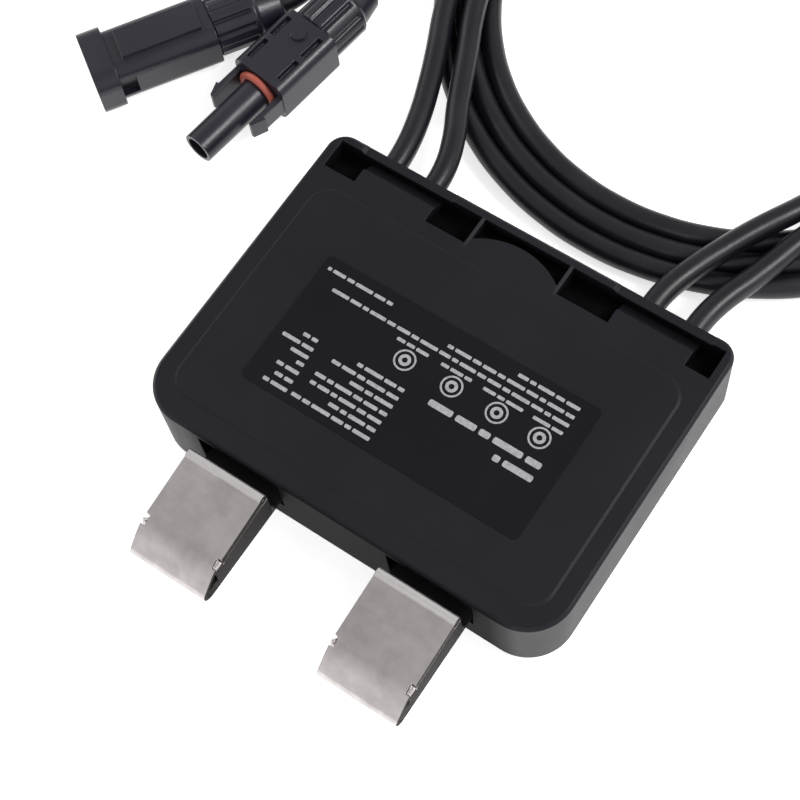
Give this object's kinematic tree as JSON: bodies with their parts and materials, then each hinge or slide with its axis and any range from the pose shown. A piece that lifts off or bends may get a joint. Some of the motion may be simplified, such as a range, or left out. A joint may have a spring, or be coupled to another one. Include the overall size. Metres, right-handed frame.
{
  "type": "power optimizer",
  "caption": "Flat black module-level power optimizer with two sprung frame clips, short input leads and long coiled output leads ending in plug-in connectors.",
  "frame": {"origin": "middle of the case's back face", "axes": "+X along the case's long edge, +Y towards the edge with the leads, +Z out of the face"},
  "size_m": [0.2344, 0.308, 0.0224],
  "materials": {
    "case_plastic": "fine matt moulding",
    "plate_metal": "plain rolled sheet",
    "gasket_rubber": "soft matt rubber",
    "screw_steel": "plated",
    "board_laminate": "lacquered",
    "ferrite": "sintered",
    "copper": "enamelled or tinned copper",
    "capacitor_plastic": "moulded box",
    "chip_plastic": "moulded epoxy",
    "pad_silicone": "soft silicone",
    "clip_steel": "dull spring steel",
    "lead_jacket": "satin cable jacket",
    "tie_plastic": "nylon strap",
    "connector_plastic": "satin moulding",
    "contact_metal": "tinned",
    "ring_rubber": "soft silicone ring"
  },
  "bodies": {
    "root": {"case_shell": "case_plastic", "back_plate": "plate_metal", "plate_gasket": "gasket_rubber", "lead_seal_1": "gasket_rubber", "lead_seal_2": "gasket_rubber", "lead_seal_3": "gasket_rubber", "lead_seal_4": "gasket_rubber", "plate_screws": "screw_steel", "circuit_board": "board_laminate", "inductor_core": "ferrite", "inductor_winding": "copper", "filter_choke": "copper", "lead_terminals": "copper", "input_capacitors": "capacitor_plastic", "output_capacitors": "capacitor_plastic", "signal_transformer": "capacitor_plastic", "power_transistors": "chip_plastic", "bypass_diode": "chip_plastic", "controller_chip": "chip_plastic", "thermal_pad": "pad_silicone", "left_frame_clip": "clip_steel", "right_frame_clip": "clip_steel", "lead_1": "lead_jacket", "lead_2": "lead_jacket", "lead_3_start": "lead_jacket", "lead_3_end": "lead_jacket", "lead_4_start": "lead_jacket", "lead_4_end": "lead_jacket", "lead_coil": "lead_jacket", "coil_tie": "tie_plastic", "socket_1_body": "connector_plastic", "pin_2_body": "connector_plastic", "socket_3_body": "connector_plastic", "pin_4_body": "connector_plastic", "socket_1_nut": "connector_plastic", "pin_2_nut": "connector_plastic", "socket_3_nut": "connector_plastic", "pin_4_nut": "connector_plastic", "socket_1_contact": "contact_metal", "pin_2_contact": "contact_metal", "socket_3_contact": "contact_metal", "pin_4_contact": "contact_metal", "pin_2_ring": "ring_rubber", "pin_4_ring": "ring_rubber"}
  },
  "joints": []
}
